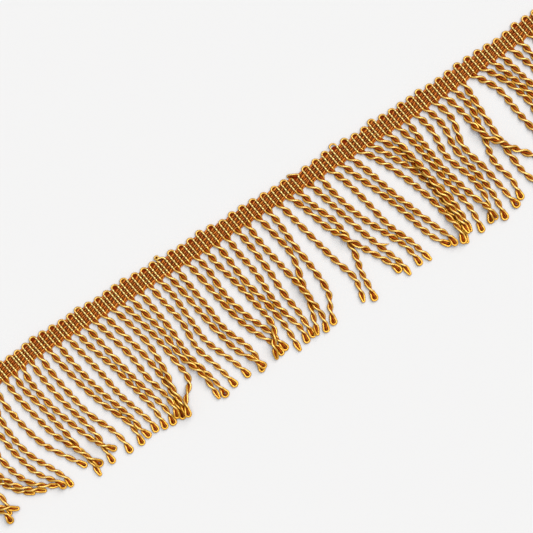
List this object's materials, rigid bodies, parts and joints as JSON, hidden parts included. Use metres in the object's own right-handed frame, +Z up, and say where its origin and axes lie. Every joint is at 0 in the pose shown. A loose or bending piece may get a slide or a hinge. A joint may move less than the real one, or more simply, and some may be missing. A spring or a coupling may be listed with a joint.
{
  "type": "cord fringe trim",
  "caption": "Length of cord fringe trim lying flat: a ribbed gimp heading with picot loops and a row of twisted hanging cords with looped ends.",
  "frame": {"origin": "on the underside of the heading, midway along its length", "axes": "+X along the heading, -Y from the heading towards the free ends of the cords, +Z up from the surface that the trim lies on"},
  "size_m": [0.4025, 0.0853, 0.0085],
  "materials": {
    "heading": "gold gimp yarn over rust viscose, ribbed and satiny",
    "fringe": "rust viscose cord twisted with gold gimp yarn, satiny"
  },
  "bodies": {
    "root": {"heading": "heading", "fringe": "fringe"}
  },
  "joints": []
}
